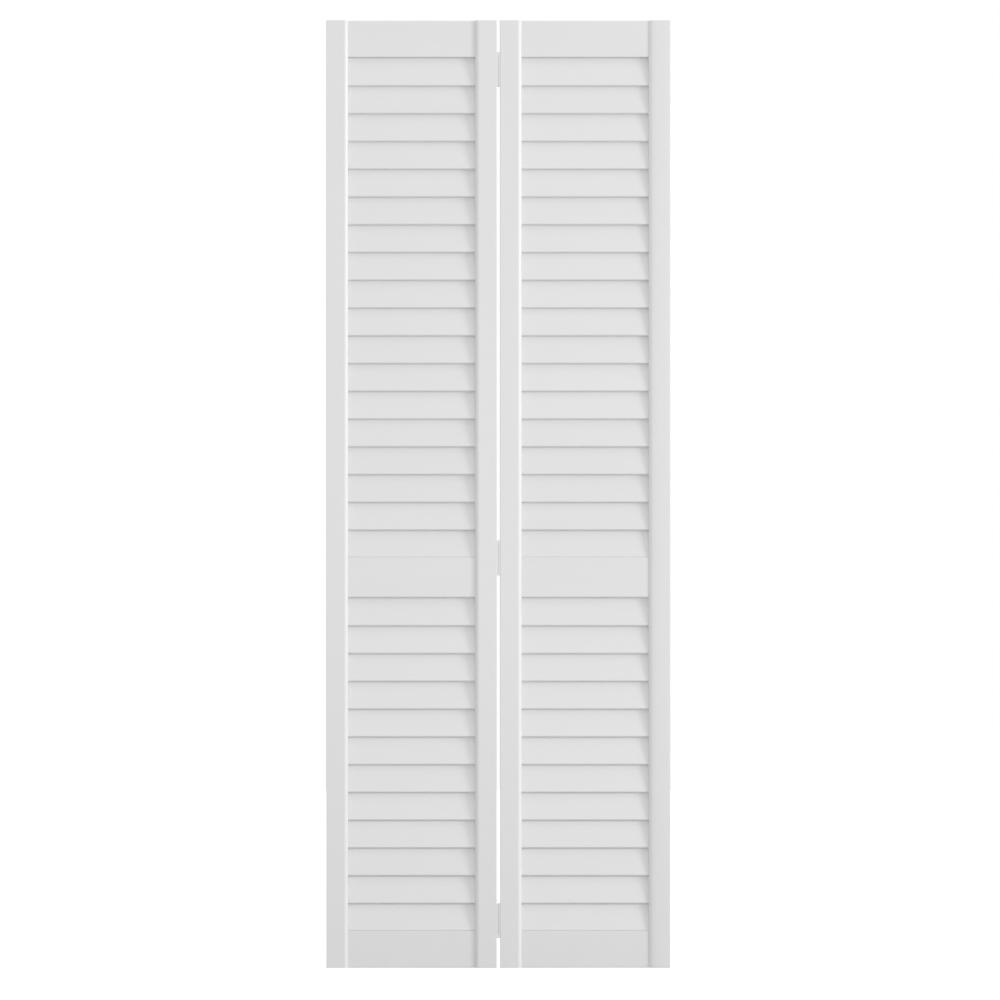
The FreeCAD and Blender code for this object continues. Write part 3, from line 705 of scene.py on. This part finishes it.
# %% Make the outer cores and the dowels
core_reach = mm(2.2, 30.2)  # from the stile's outer edge
core_face = face - mm(2.2)
core_arris = mm(0.3)
core_dowel_bore = mm(14.7, 31)  # from the stile's outer edge
bore_radius = mm(5.55)
BORES = {"pivot": mm(33, 40.3), "lead": mm(42, 41.5)}  # depths from the door's top and bottom ends
AXES = {}
for panel in PANELS:
    edge, inwards, shoulder = STILES[f"{panel}_outer"]
    node = f"{panel}_outer_core"
    AXES[panel] = edge + inwards * core_reach.mean()
    fall = shoulder_drop / (moulding_start - shoulder_start) if shoulder else 0.0
    bend = shoulder_start if shoulder else core_reach.mean()
    narrow = core_face - fall * (core_reach[1] - bend)
    half = np.array([[core_reach[1], narrow], [bend, core_face], [core_reach[0], core_face]])
    half = half if shoulder else half[[0, 2]]
    bar = np.concatenate([half, half[::-1] * [1, -1]]) * [inwards, 1] + [edge, 0]
    core = as_object("fine_" + node, prism([bar], *span(node, Z), arris=core_arris))
    top, bottom = BORES[panel]
    ring = circle(bore_radius, (AXES[panel], 0.0))
    cuts = [prism([ring], door_height - top, door_height), prism([ring], 0.0, bottom)]
    dowels = [(0.0, z) for z in dowel_heights(panel)]
    cuts += holes(dowel_radius + bore_clearance, dowels, edge, inwards, core_dowel_bore)
    combined(core, "DIFFERENCE", *cuts)
    fitted(core, f"{panel}_panel", "fibreboard", node)

flute_depth = mm(0.3)
FLUTES = 18
dowel_chamfer = mm(0.8)


def flutes(angle, height):
    """Grooves along a dowel: their depth times the fourth power of cos (number of flutes * angle)."""
    return flute_depth * np.maximum(np.cos(FLUTES * angle), 0) ** 4


length = np.ptp(dowel_reach)
peg = [
    (0.0, 0.0),
    (dowel_radius - dowel_chamfer, 0.0),
    (dowel_radius, dowel_chamfer),
    (dowel_radius, length - dowel_chamfer),
    (dowel_radius - dowel_chamfer, length),
    (0.0, length),
]
for panel in PANELS:
    node = f"{panel}_rail_dowels"
    left, right = span(node, X)
    places = [(start, 0.0, z) for z in dowel_heights(panel) for start in (left, right - length)]
    pegs = [lathe(peg, "x", place, steps=6 * FLUTES, ridge=flutes) for place in places]
    fitted(as_object("fine_" + node, *pegs), f"{panel}_panel", "dowel_beech", node)

for node in ("pivot_hinge_core", "lead_hinge_core", "pivot_rail_cores", "lead_rail_cores"):
    frame["nodes"][node].data.materials.clear()
    frame["nodes"][node].data.materials.append(FINISHES["fibreboard"])

# %% [markdown]
# ## Pivot and guide fittings
# In the ends of the outer stiles sit flanged nylon bushes. Two hold a spring and a steel pin that is
# pushed in while the door is lifted under its track, and one holds the threaded pin that the door
# stands on. All are turned or moulded round, so each is a profile carried round an axis, with its
# corners eased by a few tenths of a millimetre. The thread is a ridge that climbs with the angle, taken
# off the same profile.

# %% Profiles of the fittings
TOP = {panel: (AXES[panel], 0.0, door_height) for panel in PANELS}
FOOT = (AXES["pivot"], 0.0, 0.0)


def profile(*corners, radius=0.15):
    """Corners (radius, height) in millimetres with eased corners, except for those on the axis."""
    corners = mm(*corners)
    return eased(corners, np.where(corners[:, 0] > 0, mm(radius), 0.0), 3)


def threads(pitch, depth, low, high):
    """A V thread: its depth times a wave that falls and rises once a pitch, and climbs it once a turn."""

    def ridge(angle, height):
        wave = np.abs(2 * ((height / pitch - angle / (2 * math.pi)) % 1) - 1)
        ends = np.clip(np.minimum(height - low, high - height) / pitch, 0, 1)
        return depth * wave * ends

    return ridge


# %% Make the bushes, the roller and the pins
BUSH = "white_nylon"
top_bush = profile(
    (4.6, -32.7), (5.5, -32.7), (5.5, -1.5), (7, -1.5), (7, 0), (3.3, 0), (3.3, -2), (4.6, -2)
)
thing = as_object("fine_top_pivot_bush", lathe(top_bush, centre=TOP["pivot"], closed=True))
fitted(thing, "pivot_panel", BUSH, "top_pivot_bush")

guide_bush = profile(
    (4.6, -41.7), (5.5, -41.7), (5.5, -1.5), (7, -1.5), (7, 0), (4.6, 0),
    (4.6, -9), (3.3, -9), (3.3, -11), (4.6, -11),
)
thing = as_object("fine_guide_bush", lathe(guide_bush, centre=TOP["lead"], closed=True))
fitted(thing, "lead_panel", BUSH, "guide_bush")

foot_bush = profile((4.05, 40), (5.5, 40), (5.5, 1.5), (7, 1.5), (7, 0), (4.05, 0))
thing = as_object("fine_bottom_pivot_bush", lathe(foot_bush, centre=FOOT, closed=True))
fitted(thing, "pivot_panel", BUSH, "bottom_pivot_bush")

roller = profile(
    (1.85, -8.4), (4.4, -8.4), (4.4, -0.4), (2.8, -0.4), (2.8, -1.3), (1.85, -1.3), radius=0.25
)
thing = as_object("fine_guide_roller", lathe(roller, centre=TOP["lead"], closed=True))
fitted(thing, "guide_wheel", BUSH, "guide_roller")

PIN = "zinc_steel"
pin = profile((0, -21), (4.5, -21), (4.5, -15), (3.2, -15), (3.2, -1.2), (2.4, -0.4), (0, -0.4))
thing = as_object("fine_top_pivot_pin", lathe(pin, centre=TOP["pivot"]))
fitted(thing, "top_pin", PIN, "top_pivot_pin")

guide = profile(
    (0, -30), (4.5, -30), (4.5, -24), (3.2, -24), (3.2, -8.6), (1.8, -8.6),
    (1.8, -1.1), (2.6, -1.1), (2.6, -0.4), (0, -0.4),
)
thing = as_object("fine_guide_pin", lathe(guide, centre=TOP["lead"]))
fitted(thing, "guide", PIN, "guide_pin")

thread_low, thread_high = mm(6.4, 37.4)
thread_rows = np.linspace(thread_low, thread_high, 320)
thread_radius = np.full_like(thread_rows, mm(4))
foot_pin = np.concatenate(
    [
        mm((0, 0.4), (2.4, 0.4), (3.2, 1.2), (3.2, 6.4)),
        np.column_stack([thread_radius, thread_rows]),
        mm((3.3, 37.4), (0, 37.4)).clip(0),
    ]
)
screw_thread = threads(pitch=mm(1.25), depth=mm(0.65), low=thread_low, high=thread_high)
thing = as_object("fine_bottom_pivot_pin", lathe(foot_pin, centre=FOOT, ridge=screw_thread))
driver_slot = mm(0.6, 5)  # half its width and half its length
slot_low, slot_high = mm(-1, 1.9)
corners = np.array([(-1, -1), (1, -1), (1, 1), (-1, 1)]) * driver_slot
combined(thing, "DIFFERENCE", prism([corners + [FOOT[X], 0]], slot_low, slot_high))
fitted(thing, "bottom_pin", PIN, "bottom_pivot_pin")

# %% [markdown]
# A coil spring is a small circle carried along a helix. Its end turns lie close, so that it stands
# square on the fibreboard and under the pin's collar, and the turns between share what is left of its
# length.

# %% Make the springs
wire = mm(0.45)
coil_radius = mm(3.95)
coil_rise = mm(10.9)
coil_turns = 6
closed_pitch = mm(0.95)


def coil(foot, around_wire=12, per_turn=40):
    """(points, faces) of a spring: helix + wire * (cos b * outwards + sin b * up), b round the wire."""
    turn = np.linspace(0, coil_turns, coil_turns * per_turn + 1)
    knots = [0, 1, coil_turns - 1, coil_turns]
    height = np.interp(turn, knots, [0, closed_pitch, coil_rise - closed_pitch, coil_rise])
    angle = 2 * math.pi * turn
    outwards = np.stack([np.cos(angle), np.sin(angle), 0 * angle], axis=1)
    centres = coil_radius * outwards + np.stack([0 * angle, 0 * angle, height], axis=1)
    b = np.arange(around_wire) * 2 * math.pi / around_wire
    ring = np.cos(b)[None, :, None] * outwards[:, None] + np.sin(b)[None, :, None] * [0.0, 0.0, 1.0]
    points = (centres[:, None] + wire * ring).reshape(-1, 3) + foot
    ends = np.arange(around_wire), len(points) - around_wire + np.arange(around_wire)
    return points, grid_quads(len(turn), around_wire).tolist() + [end.tolist() for end in ends]


for node, panel, pushed in (("top_pivot_spring", "pivot", "top_pin"), ("guide_spring", "lead", "guide")):
    low, high = span(node, Z)
    thing = as_object("fine_" + node, coil(np.array([AXES[panel], 0.0, low + wire])))
    fitted(thing, None, "spring_steel", node)
    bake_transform(thing)

# %% [markdown]
# ## Hinges
# Each hinge is two stamped leaves whose knuckles wrap a steel pin with a button at each end, all
# enamelled together. The leaves lie on the stiles' edges and close the gap between the panels from the
# front. They taper towards the barrel, so that none of it shows through the gap above or below them.
# Three countersunk screws hold each leaf. A leaf, a pin and a screw are made once, and copied to their
# places.

# %% Make the leaves
leaf_thickness = mm(3)
leaf_front = span("top_hinge_pivot_leaf", Y)[0]
leaf_half = np.ptp(span("top_hinge_pivot_leaf", Z)) / 2
leaf_corner = mm(2)
barrel_half = leaf_half - mm(5.2)  # the leaf tapers to a shorter barrel
fold = next(joint for joint in frame["joints"] if joint["name"] == "fold")
axis_x, axis_y = fold["pos_m"][:2]
axis_out = axis_x - STILES["pivot_hinge"][0]
pin_radius = mm(2.4)
knuckle_radius = mm(4.4)
knuckle_gap = mm(0.4)
knuckle_arris = mm(0.25)
leaf_arris = mm(0.2)
step_radius = mm(0.3)  # of the leaf's corners beside the knuckles
KNUCKLES = 5


def knuckle_ends(number):
    """Lowest and highest point of a knuckle, from the hinge's middle."""
    length = 2 * barrel_half / KNUCKLES
    low = -barrel_half + number * length
    return low + knuckle_gap / 2 * (number > 0), low + length - knuckle_gap / 2 * (number < KNUCKLES - 1)


def leaf(own, clearance):
    """A leaf on an edge at x = 0 that faces -x, with its middle at height zero.

    It has the knuckles whose numbers are its own, and its bore is wider than the pin by the clearance.
    """
    front = [(leaf_front, leaf_half), (leaf_front, -leaf_half)]
    steps = []
    for number in range(KNUCKLES):
        low, high = knuckle_ends(number)
        if number in own:
            steps += [(axis_y, low), (axis_y, high)]
        else:
            low, high = low - knuckle_gap * (number > 0), high + knuckle_gap * (number < KNUCKLES - 1)
            steps += [(face, low), (face, high)]
    if 0 in own:
        steps = [(face, -barrel_half), *steps, (face, barrel_half)]
    outline = np.array([*steps, *front])
    radius = [step_radius] * len(steps) + [leaf_corner] * 2
    outline = eased(outline, radius, edge_steps)
    plate = prism([outline], -leaf_thickness, 0.0, "x", arris=leaf_arris)
    made = as_object("leaf", plate)
    barrel = circle(knuckle_radius, (-axis_out, axis_y), 48)
    knuckles = [prism([barrel], *knuckle_ends(number), arris=knuckle_arris) for number in own]
    combined(made, "UNION", *knuckles)
    bore = prism([circle(pin_radius + clearance, (-axis_out, axis_y), 48)], -2 * leaf_half, 2 * leaf_half)
    sink = mm((0, -1), (4.6, -1), (3.6, 0), (1.9, 1.7), (1.9, 4), (0, 4))
    sinks = [lathe(sink, "x", (-leaf_thickness, y, z), steps=40) for y, z in screw_places]
    combined(made, "DIFFERENCE", bore, *sinks)
    part = points_and_faces(made)
    bpy.data.objects.remove(made)
    return part


LEAVES = {"pivot": leaf((0, 2, 4), mm(0.02)), "lead": leaf((1, 3), mm(0.05))}
for place, middle in HINGES.items():
    for panel, part in LEAVES.items():
        edge, inwards, shoulder = STILES[f"{panel}_hinge"]
        node = f"{place}_hinge_{panel}_leaf"
        thing = as_object("fine_" + node, *copies(part, [(edge, 0.0, middle)], (inwards, 1, 1)))
        fitted(thing, f"{panel}_panel", "hinge_enamel", node)

# %% Make the hinge pins and the screws
shank_end = barrel_half + mm(0.02)
dome = arc((0.0, 0.0), 1.0, 0, math.pi / 2, 9) * mm(3.6, 1.6) + [0.0, shank_end]
half = np.concatenate([[[pin_radius, 0.0], [pin_radius, shank_end]], dome])
rivet = np.concatenate([half[:0:-1] * [1, -1], half])
for place, middle in HINGES.items():
    node = f"{place}_hinge_pin"
    thing = as_object("fine_" + node, lathe(rivet, centre=(axis_x, axis_y, middle), steps=48))
    fitted(thing, "pivot_panel", "hinge_enamel", node)

thread_low, thread_high = mm(3.2, 13)
thread_rows = np.linspace(thread_low, thread_high, 90)
thread_radius = np.full_like(thread_rows, screw_radius)
screw_profile = np.concatenate(
    [
        mm((0, 0), (3.35, 0), (3.5, 0.15), (1.8, 1.7)),
        np.column_stack([thread_radius, thread_rows]),
        mm((1.2, 14.4), (0.5, 15.5), (0, 16)),
    ]
)
screw_ridge = threads(pitch=mm(1.4), depth=mm(0.55), low=thread_low, high=thread_high)
screw = as_object("screw", lathe(screw_profile, "x", steps=28, ridge=screw_ridge))
arm = mm((1.8, -0.34), (1.8, 0.34), (0.42, 0.42))
quarter_turn = np.array([[0, 1], [-1, 0]])
cross = np.concatenate([arm @ np.linalg.matrix_power(quarter_turn, turns) for turns in range(4)])
recess_low, recess_high = mm(-0.1, 1.1)
recess_taper = 0.6  # the arms' length at the bottom, as a share of that at the top
recess, faces = prism([cross], recess_low, recess_high, "x")
recess[recess[:, X] > 0, 1:] *= recess_taper
combined(screw, "DIFFERENCE", (recess, faces))
part = points_and_faces(screw)
bpy.data.objects.remove(screw)
for panel in PANELS:
    edge, inwards, shoulder = STILES[f"{panel}_hinge"]
    head = edge - inwards * leaf_thickness
    places = [(head, y, middle + z) for middle in HINGES.values() for y, z in screw_places]
    node = f"{panel}_hinge_screws"
    thing = as_object("fine_" + node, *copies(part, places, (inwards, inwards, 1)))
    fitted(thing, f"{panel}_panel", "hinge_enamel", node)

# %% [markdown]
# ## Floor, world and lamps
# A white door on white is lit softly, or its mouldings burn out. Three quarters of the light come from
# all round. A key lamp far to the right draws the dark line along the left-facing mouldings and the
# bright one along the right-facing, and lets the right stile's shadow widen over each slat, from its
# foot to its top. One weak lamp overhead deepens the line under each slat, and one in front keeps the
# shadows open. The floor and the world look white to the camera and to reflections without adding
# light, and the floor keeps a shadow.

# %% Floor and world
WHITE = linear("#ffffff")
hung_clearance = mm(13)
half_floor = 6.0
floor_glow = 0.86  # added for the camera only
floor_paint = "#cacaca"
floor_mesh = bpy.data.meshes.new("floor")
floor_corners = [(-1, -1), (1, -1), (1, 1), (-1, 1)]
floor_mesh.from_pydata(
    [(half_floor * x, half_floor * y, -hung_clearance) for x, y in floor_corners], [], [(0, 1, 2, 3)]
)
floor = bpy.data.objects.new("floor", floor_mesh)
bpy.context.scene.collection.objects.link(floor)
floor_material = bpy.data.materials.new("painted_floor")
floor_material.use_nodes = True
tree = floor_material.node_tree
tree.nodes.clear()
seen = add(tree, "LightPath").outputs["Is Camera Ray"]
shown = add(tree, "Math", {0: seen, 1: floor_glow}, operation="MULTIPLY").outputs[0]
glow = add(tree, "Emission", {"Color": WHITE, "Strength": shown})
paint = add(tree, "BsdfDiffuse", {"Color": linear(floor_paint)})
both = add(tree, "AddShader", {0: glow.outputs[0], 1: paint.outputs[0]})
add(tree, "OutputMaterial", {"Surface": both.outputs[0]})
floor_mesh.materials.append(floor_material)

FILL = 0.76  # the share of full light that comes evenly from all round
world = bpy.data.worlds.new("studio")
bpy.context.scene.world = world
world.use_nodes = True
tree = world.node_tree
tree.nodes.clear()
path = add(tree, "LightPath").outputs
seen = path["Is Camera Ray"]
for ray in ("Is Glossy Ray", "Is Transmission Ray"):
    seen = add(tree, "Math", {0: seen, 1: path[ray]}, operation="MAXIMUM").outputs[0]
fill = add(tree, "Background", {"Color": WHITE, "Strength": FILL})
backdrop = add(tree, "Background", {"Color": WHITE, "Strength": 1.0})
mixed = add(tree, "MixShader", {0: seen, 1: fill.outputs[0], 2: backdrop.outputs[0]})
add(tree, "OutputWorld", {"Surface": mixed.outputs[0]})

# %% Lamps and camera
target = np.array([0.35, -face, 1.0])
# Each lamp: its azimuth from the door's normal towards +X and its elevation, both in degrees, its
# distance and its size in metres, and the share of light it gives.
LAMPS = {
    "key": (67, 8, 10.0, (2.3, 2.3), 0.166),
    "overhead": (10, 70, 6.0, (3.0, 2.0), 0.024),
    "front": (0, -2, 3.5, (2.4, 0.8), 0.088),
}
for name, (azimuth, elevation, distance, size, share) in LAMPS.items():
    # A lamp of power P at a distance d, met at an angle t, lights a face with a share P cos t / (pi d)^2 of
    # what shows a colour as it is written, so its power is share * (pi d)^2 / cos t.
    turn, rise = math.radians(azimuth), math.radians(elevation)
    way = np.array([math.sin(turn) * math.cos(rise), -math.cos(turn) * math.cos(rise), math.sin(rise)])
    light = bpy.data.lights.new(name, "AREA")
    light.shape = "RECTANGLE"
    light.size, light.size_y = size
    light.energy = share * (math.pi * distance) ** 2 / -way[1]
    thing = bpy.data.objects.new(name, light)
    thing.location = target + distance * way
    thing.rotation_euler = Vector(-way).to_track_quat("-Z", "Y").to_euler()
    bpy.context.scene.collection.objects.link(thing)
    print(f"{name}: {light.energy:.0f} W")

camera_distance = 9.5
camera_x, camera_height = 0.3504, 0.9878
picture_width = 2.110  # metres across the picture at the door's face
camera = bpy.data.cameras.new("camera")
camera.sensor_width = 36
camera.lens = camera.sensor_width * (camera_distance - face) / picture_width
viewer = bpy.data.objects.new("camera", camera)
viewer.location = (camera_x, -camera_distance, camera_height)
viewer.rotation_euler = (math.pi / 2, 0, 0)
bpy.context.scene.collection.objects.link(viewer)
bpy.context.scene.camera = viewer
bpy.context.scene.view_settings.view_transform = "Standard"
